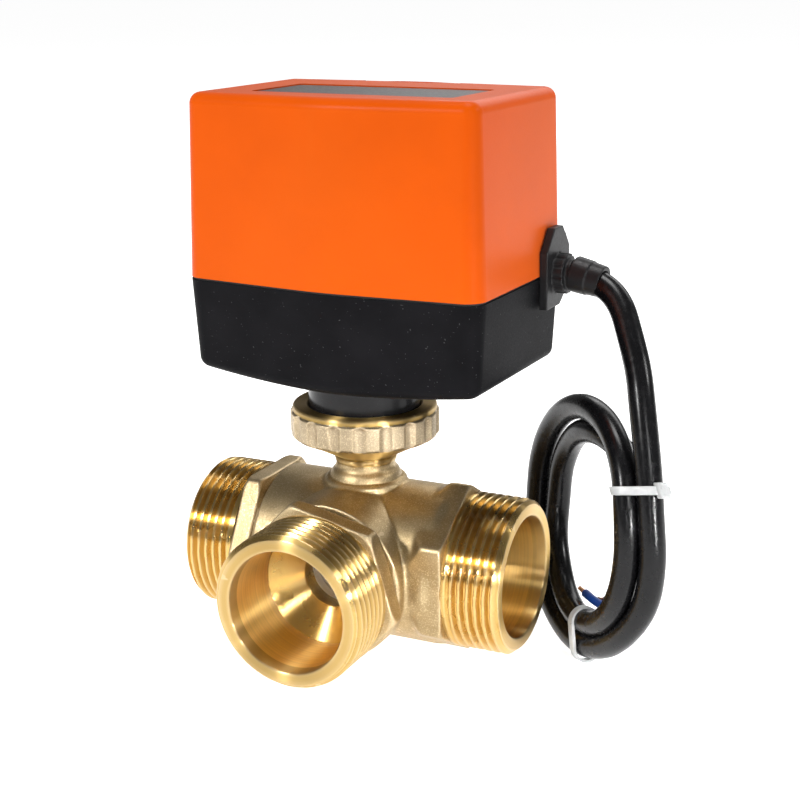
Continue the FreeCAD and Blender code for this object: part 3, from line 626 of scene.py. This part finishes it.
def rounded_block(name, placed, middle, size, edge):
    """Rounded block in millimetres: middle is (radius, offset) and size is radial, across and along.

    placed turns such a place into a point in the frame.
    """
    bm = bmesh.new()
    bmesh.ops.create_cube(bm, size=1)
    for v in bm.verts:
        v.co = Vector((v.co.x * size[0], v.co.y * size[1], v.co.z * size[2]))
    bmesh.ops.bevel(bm, geom=bm.edges[:], offset=edge, segments=3, affect="EDGES", profile=0.6)
    for v in bm.verts:
        v.co = placed(middle[0] + v.co.x, middle[1] + v.co.y, v.co.z)
    bmesh.ops.recalc_face_normals(bm, faces=bm.faces)
    mesh = bpy.data.meshes.new(name)
    bm.to_mesh(mesh)
    bm.free()
    mesh.polygons.foreach_set("use_smooth", [True] * len(mesh.polygons))
    return add_object(name, mesh)


def join_into(target, others):
    """Puts other meshes into the target's mesh."""
    bm = bmesh.new()
    bm.from_mesh(target.data)
    for other in others:
        bm.from_mesh(other.data)
        bpy.data.objects.remove(other)
    bmesh.ops.recalc_face_normals(bm, faces=bm.faces)
    bm.to_mesh(target.data)
    bm.free()


# Each conductor's stations: bearing, radius and offset, as for the turns.
WIRE_R = 1.15
WIRE_ROUTES = {
    "blue": [(756, 20.6, 2.2), (772, 22.2, 1.4), (788, 22.0, 0.2), (802, 20.9, -0.5), (815, 20.0, -0.9)],
    "brown": [(756, 22.4, 3.4), (772, 22.4, 3.6), (786, 21.0, 3.0), (798, 20.6, 1.9)],
    "black": [(756, 21.2, 1.0), (770, 22.6, 4.8), (784, 20.2, 5.2), (794, 19.4, 4.2)],
}


def make_wires():
    """Conductors that leave the cable's cut end and curl up inside the coil."""
    finishes = {
        "blue": moulded("wire_blue", (0.003, 0.035, 0.22), (0.005, 0.06, 0.32), 0.38),
        "brown": moulded("wire_brown", (0.05, 0.018, 0.008), (0.08, 0.03, 0.014), 0.38),
        "black": moulded("wire_black", (0.010, 0.010, 0.011), (0.02, 0.02, 0.021), 0.38),
    }
    pieces = []
    tips = []
    for colour, stations in WIRE_ROUTES.items():
        points = [coil_point(*s) for s in stations]
        wire = spline_object("wire_" + colour, points, WIRE_R * MM)
        finish_piece(wire, "valve", "wire_" + colour, [finishes[colour]], "conductor_" + colour)
        pieces.append(wire)
        way = (points[-1] - points[-2]).normalized()
        tips.append(strands("tip_" + colour, points[-1] - way * 0.3 * MM, way))
    bare = tips[0]
    bare.name = "bare_ends"
    join_into(bare, tips[1:])
    finish_piece(bare, "valve", "copper", [metal("copper", (0.62, 0.30, 0.16), (0.80, 0.47, 0.30), 0.3)],
                 "conductor_tips")
    pieces.append(bare)
    return pieces


def strands(name, start, way):
    """Bare wire from a start along a way: one strand with the rest twisted round it."""
    around = 6
    strand_r = 0.2 * MM
    swirl_r = 0.42 * MM
    twist = 1.6
    length = 3.2 * MM
    steps = 8
    side = way.orthogonal().normalized()
    other = way.cross(side)
    meshes = []
    for i in range(around + 1):
        swirl = 0.0 if i == 0 else swirl_r
        rows = []
        for step in range(steps + 1):
            t = step / steps
            turn = 2 * math.pi * (i / around) + twist * t
            middle = start + way * length * t + (side * math.cos(turn) + other * math.sin(turn)) * swirl
            ring = []
            for k in range(8):
                b = 2 * math.pi * k / 8
                ring.append(middle + (side * math.cos(b) + other * math.sin(b)) * strand_r)
            rows.append(ring)
        mesh = grid_mesh(name, rows)
        close_ends(mesh)
        meshes.append(add_object(name, mesh))
    join_into(meshes[0], meshes[1:])
    return meshes[0]


def close_ends(mesh):
    """Caps the open ends of a tube."""
    bm = bmesh.new()
    bm.from_mesh(mesh)
    rim = [e for e in bm.edges if e.is_boundary]
    bmesh.ops.holes_fill(bm, edges=rim)
    bmesh.ops.recalc_face_normals(bm, faces=bm.faces)
    bm.to_mesh(mesh)
    bm.free()


# ---- brass port ends ----

# Millimetres. PORT_LENGTH, WAY_END, HEX_OUTER, HEX_INNER and HEX_ROOT are places along a port's axis,
# from the crossing. The others are sizes.
PORT_LENGTH = 47.0
THREAD_R = 20.955
THREAD_PITCH = 2.309
THREAD_DEPTH = 1.40
THREAD_ROOT = 0.16
THREAD_FLANK = 0.62
THREAD_STEPS = 132
RUNOUT_START = 0.7
RUNOUT_LENGTH = 1.6
END_CHAMFER = 1.45
CHAMFER_SLOPE = 1.05
BORE_R = 16.4
WAY_R = 8.2
WAY_END = 16.7
SLEEVE_R = 18.2
HEX_FLAT = 41.6
HEX_CORNER_R = 23.8
HEX_OUTER = 31.5
HEX_INNER = 25.9
HEX_ROOT = 22.3
CROWN_WIDTH = 1.1
CROWN_POWER = 1.5
OUTER_CROWN = 1.25
INNER_CROWN = 1.5

# Heights up the neck, and the largest radius of its hollow flare there.
NECK_FLARE = [(22.7, 9.9), (23.4, 9.7), (24.3, 9.3), (24.9, 8.85), (25.6, 8.4), (26.6, 8.12), (27.3, 8.12)]
SEGMENTS = 288


def soft_min(a, b, blend):
    """The smaller of two numbers, rounded off where they are within blend of each other."""
    h = max(blend - abs(a - b), 0) / blend
    return min(a, b) - h * h * blend / 4


def thread_radius(x, angle):
    """Radius of the helical thread, running out at the hexagon and cut by the end chamfer."""
    phase = (x / THREAD_PITCH - angle / (2 * math.pi)) % 1.0
    ridge = abs(phase - 0.5) * 2
    flank = (ridge - THREAD_ROOT) / THREAD_FLANK
    r = THREAD_R - THREAD_DEPTH * (1 - min(max(flank, 0), 1))
    runout = min(max((x - HEX_OUTER - RUNOUT_START) / RUNOUT_LENGTH, 0), 1)
    r = THREAD_R + (r - THREAD_R) * runout
    chamfer = THREAD_R - END_CHAMFER + (PORT_LENGTH - x) * CHAMFER_SLOPE
    return soft_min(r, chamfer, 0.18)


def hexagon_radius(x, angle, corner_at):
    """Radius of the hexagon band with its corners turned down at both sides."""
    a = (angle - corner_at) % (math.pi / 3) - math.pi / 6
    flat = HEX_FLAT / 2 / math.cos(a)
    crown = HEX_CORNER_R - OUTER_CROWN * max(0, 1 - (HEX_OUTER - x) / CROWN_WIDTH) ** CROWN_POWER
    crown -= INNER_CROWN * max(0, 1 - (x - HEX_INNER) / CROWN_WIDTH) ** CROWN_POWER
    return soft_min(flat, crown, 0.35)


def port_rows(corner_at, start):
    """Rings of a port end along +X, and each ring's material number: cast, thread, face, bore, cone.

    start is where the port end begins, or None for a port without a hexagon of its own.
    """
    angles = [2 * math.pi * i / SEGMENTS for i in range(SEGMENTS)]
    rows = []
    kinds = []

    def ring(x, radius_of, kind):
        rows.append([(x, radius_of(a) * math.sin(a), radius_of(a) * math.cos(a)) for a in angles])
        kinds.append(kind)

    def plain(x, r, kind):
        ring(x, lambda a: r, kind)

    if start is not None:
        plain(start, 18.0, 0)
        plain(start, 19.2, 0)
        for inset, x in ((0.55, 0.0), (0.28, 0.06), (0.10, 0.22), (0.0, 0.5)):
            ring(HEX_INNER + x, lambda a, d=inset, p=HEX_INNER + x: hexagon_radius(p, a, corner_at) - d, 0)
        for k in range(1, 9):
            x = HEX_INNER + 0.5 + (HEX_OUTER - HEX_INNER - 1.0) * k / 9
            ring(x, lambda a, p=x: hexagon_radius(p, a, corner_at), 0)
        for inset, x in ((0.0, 0.5), (0.10, 0.22), (0.28, 0.06), (0.50, 0.0)):
            ring(HEX_OUTER - x, lambda a, d=inset, p=HEX_OUTER - x: hexagon_radius(p, a, corner_at) - d, 0)
        plain(HEX_OUTER, THREAD_R + 0.12, 0)
    else:
        plain(22.0, SLEEVE_R, 1)
        plain(HEX_OUTER - 0.6, SLEEVE_R, 1)
        plain(HEX_OUTER - 0.6, THREAD_R - 0.3, 1)
    for k in range(THREAD_STEPS + 1):
        x = HEX_OUTER + 0.04 + (PORT_LENGTH - HEX_OUTER - 0.12) * k / THREAD_STEPS
        ring(x, lambda a, p=x: thread_radius(p, a), 1)
    end_r = THREAD_R - END_CHAMFER
    for x, r in ((PORT_LENGTH, end_r - 0.12), (PORT_LENGTH, end_r - 1.2), (PORT_LENGTH, BORE_R + 1.0),
                 (PORT_LENGTH, BORE_R + 0.45), (PORT_LENGTH - 0.06, BORE_R + 0.22),
                 (PORT_LENGTH - 0.25, BORE_R + 0.05), (PORT_LENGTH - 0.5, BORE_R)):
        plain(x, r, 2)
    for k in range(6):
        plain(PORT_LENGTH - 4.0 - 3.2 * k, BORE_R, 3)
    for x, r in ((27.15, BORE_R), (27.0, BORE_R - 0.04), (26.85, BORE_R - 0.2), (24.2, 12.35), (21.45, 8.42),
                 (21.3, 8.26), (21.1, WAY_R), (19.0, WAY_R), (WAY_END, WAY_R)):
        plain(x, r, 4)
    if start is not None:
        plain(WAY_END, 12.0, 4)
        plain(start - 3.0, 18.0, 4)
    else:
        plain(WAY_END, 10.0, 4)
        plain(20.0, 16.0, 4)
    return rows, kinds


def make_port(name, turn, corner_at, start, materials, node):
    """Port end on the axis at a turn about Z, in degrees, standing for one CAD node."""
    rows, kinds = port_rows(math.radians(corner_at), start)
    mesh = grid_mesh(name, rows, closed_rows=True, finish_of=lambda i: kinds[i])
    place = Matrix.Translation(CROSSING) @ Matrix.Rotation(math.radians(turn), 4, "Z") @ Matrix.Scale(MM, 4)
    mesh.transform(place)
    fix_normals(mesh)
    piece = add_object(name, mesh)
    sharp = piece.modifiers.new("edges", "EDGE_SPLIT")
    sharp.split_angle = math.radians(48)
    apply_modifiers(piece)
    return finish_piece(piece, "valve", "brass_cast", materials, node)


def neck_flare(z):
    """Largest radius of the neck's hollow flare at a height."""
    for (low, wide), (high, narrow) in zip(NECK_FLARE, NECK_FLARE[1:]):
        if low <= z <= high:
            return wide + (narrow - wide) * (z - low) / (high - low)
    return 50.0


def ease_casting(body):
    """Draw the neck's flare in, and let the right hexagon grow gently out of the barrel."""
    stem_r = 7.9
    shoulder_r = 12
    rounds = 26
    for v in body.data.vertices:
        x, y, z = (v.co - CROSSING) / MM
        r = math.hypot(x, y)
        if stem_r < r < shoulder_r and r > neck_flare(z):
            x, y = x * neck_flare(z) / r, y * neck_flare(z) / r
            v.co = at(x, y, z)
    bm = bmesh.new()
    bm.from_mesh(body.data)
    low, high = at(HEX_ROOT - 2, 0, 0).x, at(HEX_OUTER - 0.9, 0, 0).x
    grown = [v for v in bm.verts if low < v.co.x < high]
    for _ in range(rounds):
        bmesh.ops.smooth_vert(bm, verts=grown, factor=0.5, use_axis_x=True, use_axis_y=True, use_axis_z=True)
    bm.to_mesh(body.data)
    bm.free()


def make_brass():
    """Port ends, casting and union nut. Each port's list is in the order of the rings' material numbers."""
    cast = cast_brass()
    finish_x = [machined_brass("turned_thread_x", 0, CROSSING, 0.26, 0.8),
                machined_brass("turned_face_x", 0, CROSSING, 0.34),
                # Bore brightened past the other turned brass: painted light where little lamp light reaches
                # inside.
                machined_brass("turned_bore_x", 0, CROSSING, 0.34, 2.0, 1.25),
                machined_brass("turned_cone_x", 0, CROSSING, 0.26)]
    # Front port's thread and face darker than the same finish on the side ports: painted shade where the
    # front lamp lights them strongly.
    finish_y = [machined_brass("turned_thread_y", 1, CROSSING, 0.26, 0.8, 0.80),
                machined_brass("turned_face_y", 1, CROSSING, 0.34, 1.0, 0.72),
                # Bore brightened past the other turned brass: painted light where little lamp light reaches
                # inside.
                machined_brass("turned_bore_y", 1, CROSSING, 0.34, 2.0, 1.25),
                machined_brass("turned_cone_y", 1, CROSSING, 0.26)]
    # Neck and nut turned brass darker than the same finish on the side ports: painted shade.
    turned_z = machined_brass("turned_z", 2, CROSSING, 0.38, 1.0, 0.84)
    make_port("left_port_end", 180, 30, 23.2, [cast] + finish_x, "left_connector")
    make_port("front_port_end", -90, 43, 23.2, [cast] + finish_y, "front_connector")
    make_port("right_port_end", 0, 0, None, [cast] + finish_x, "valve_body")

    body = softened("valve_body", "valve_casting", 0.36 * MM, 4, (at(HEX_OUTER - 0.15, 0, 0), (1, 0, 0)))
    ease_casting(body)
    neck_top = 27.25
    neck_r = 10
    assign_slots(body, lambda p: 1 if p.z > neck_top and math.hypot(p.x, p.y) < neck_r else 0)
    finish_piece(body, "valve", "brass_cast", [cast, turned_z], "valve_body")

    nut = softened("union_nut", "fluted_nut", 0.26 * MM, 2)

    flute_root_r = 17.8
    flutes_low = 34.9
    flutes_high = 42.0

    def nut_finish(p):
        outside = math.hypot(p.x, p.y) > flute_root_r
        return 0 if outside and flutes_low < p.z < flutes_high else 1

    assign_slots(nut, nut_finish)
    finish_piece(nut, "union_nut", "brass_nut", [cast_brass("blasted_nut", True), turned_z], "union_nut")


# ---- plain nodes that keep their CAD shape ----

def paint_nodes():
    """Finishes of the CAD nodes that are shown as they are."""
    white = moulded("seat_plastic", (0.62, 0.60, 0.55), (0.72, 0.70, 0.66), 0.4)
    acetal = moulded("acetal", (0.72, 0.70, 0.63), (0.82, 0.80, 0.74), 0.36)
    rubber = moulded("rubber", (0.010, 0.010, 0.010), (0.020, 0.020, 0.020), 0.6, 0.00004)
    steel = metal("bright_steel", (0.50, 0.50, 0.51), (0.62, 0.62, 0.63), 0.3)
    plate = metal("plated_sheet", (0.48, 0.49, 0.50), (0.60, 0.60, 0.61), 0.36, (1, 0.05, 1))
    finishes = {
        "ball": metal("ball_plating", (0.70, 0.70, 0.72), (0.80, 0.80, 0.82), 0.12),
        "right_seat": white, "left_seat": white, "front_seat": white, "thrust_washer": white,
        "stem_packing": white,
        "left_connector_seal": rubber, "front_connector_seal": rubber, "stem_o_rings": rubber,
        "cover_gasket": rubber,
        "stem": steel, "nut_retaining_ring": steel, "cover_screws": steel, "plate_pillars": steel,
        "board_pillars": steel, "plate_screws": steel, "motor_pinion": steel, "idler_axle": steel,
        "output_shaft": steel, "front_switch_lever": steel, "back_switch_lever": steel,
        "packing_nut": machined_brass("packing_brass", 2, CROSSING, 0.3),
        "lower_gear_plate": plate, "upper_gear_plate": plate,
        "motor": metal("motor_can", (0.42, 0.42, 0.43), (0.55, 0.55, 0.56), 0.32, (1, 1, 0.04)),
        "output_gear": acetal, "idler_gear": acetal, "switch_cam": acetal, "output_bush": acetal,
        "front_limit_switch": moulded("switch_case", (0.018, 0.018, 0.02), (0.03, 0.03, 0.033), 0.42),
        "circuit_board": board_finish(),
        "terminal_block": moulded("terminal_green", (0.02, 0.16, 0.05), (0.03, 0.22, 0.08), 0.35),
        "motor_capacitor": moulded("capacitor_yellow", (0.50, 0.32, 0.05), (0.60, 0.42, 0.09), 0.35),
        "relay": moulded("relay_blue", (0.01, 0.05, 0.22), (0.02, 0.08, 0.32), 0.3),
        "label_panel": label_finish(),
    }
    finishes["back_limit_switch"] = finishes["front_limit_switch"]
    for node, material in finishes.items():
        paint(node, material)


# ---- actuator casing and gland ----

def make_casing():
    """Finishes of the box and its collar, and the gland and sleeve with their edges rounded."""
    orange = moulded("cover_orange", (0.57, 0.069, 0.0), (0.63, 0.078, 0.0), 0.34, 0.000018, 2800,
                     (0.60, 0.10, 0.005), 0.06, 0.12)
    dark = dusty_black()
    paint("actuator_cover", orange)
    paint("release_tab", orange)
    paint("actuator_base", dark)
    collar = moulded("collar_black", (0.008, 0.008, 0.009), (0.014, 0.0135, 0.014), 0.22, 0.000008,
                     shine=0.22)
    paint("base_collar", collar)

    black = moulded("gland_black", (0.008, 0.008, 0.009), (0.015, 0.0145, 0.015), 0.42, 0.00005, 1500,
                    shine=0.25)
    gland = softened("cable_gland", "gland", 0.2 * MM, 3)
    finish_piece(gland, "valve", "gland_black", [black], "cable_gland")
    sleeve = softened("strain_relief", "relief_sleeve", 0.18 * MM, 4)
    finish_piece(sleeve, "valve", "gland_black", [black], "strain_relief")
    return gland, sleeve


# ---- studio ----

def make_studio():
    """Pale floor lit from within, a dim even sky and soft lights. Light powers are in watts."""
    floor_mesh = bpy.data.meshes.new("floor")
    bm = bmesh.new()
    bmesh.ops.create_circle(bm, cap_ends=True, segments=96, radius=30)
    bm.to_mesh(floor_mesh)
    bm.free()
    floor = add_object("floor", floor_mesh)
    floor.location.z = -0.0002
    paper = Shader("light_table", (0.86, 0.86, 0.86), 0.0, 0.8)
    clouds = paper.ramp(paper.noise(6, 2), [(0.3, (0.85, 0.85, 0.85)), (0.7, (0.87, 0.87, 0.87))])
    paper.feed(clouds, "Base Color")
    paper.set("Emission Color", (1, 1, 1, 1))
    paper.set("Emission Strength", 0.84)
    paper.set("Specular IOR Level", 0.1)
    floor_mesh.materials.append(paper.material)

    world = bpy.data.worlds.new("studio")
    bpy.context.scene.world = world
    world.use_nodes = True
    world.node_tree.nodes["Background"].inputs["Color"].default_value = (1, 1, 1, 1)
    world.node_tree.nodes["Background"].inputs["Strength"].default_value = 0.16

    soft_light("front_light", (-0.65, -1.25, 0.85), (0, 0, 0.06), (0.16, 0.16), 13.5)
    soft_light("key_light", (0.95, -1.20, 0.80), (0, 0, 0.06), (0.20, 0.20), 4)
    soft_light("side_light", (1.15, 0.35, 0.85), (0, 0, 0.06), (0.2, 0.2), 4.2)
    soft_light("top_light", (0.0, 0.10, 1.30), (0, 0, 0.06), (0.5, 0.5), 9)
    soft_light("back_light", (0.0, 1.50, 1.00), (0, 0, 0.10), (1.6, 0.6), 9)
    soft_light("right_bore_light", (0.60, -0.42, 0.13), tuple(at(44, 0, 0)), (0.05, 0.05), 0.05, BEAM)
    soft_light("front_bore_light", (0.24, -0.70, 0.16), tuple(at(0, -44, 0)), (0.05, 0.05), 0.012, BEAM)


def soft_light(name, place, target, size, power, spread=math.pi):
    """Area light at a place, turned towards a target."""
    data = bpy.data.lights.new(name, "AREA")
    data.shape = "RECTANGLE"
    data.size, data.size_y = size
    data.energy = power
    data.spread = spread
    light = bpy.data.objects.new(name, data)
    bpy.context.scene.collection.objects.link(light)
    light.location = place
    light.rotation_euler = (Vector(place) - Vector(target)).to_track_quat("Z", "Y").to_euler()


make_camera()
cable = make_cable()
wires = make_wires()
nylon_finish = nylon()
upper_tie = make_tie("upper_tie", "cable_tie_upper", -36, (0, 1, 2), (0.32, 0.14), (39.4, 0.2),
                     (-0.1, 1.7, 1.6), nylon_finish)
lower_tie = make_tie("lower_tie", "cable_tie_lower", 80, (0, 1), (0.0, 0.0), (29.2, 0.4), (0.0, 1.8, 3.4),
                     nylon_finish)
gland, sleeve = make_casing()
make_brass()
paint_nodes()
make_studio()
bpy.context.scene.view_settings.view_transform = "Standard"
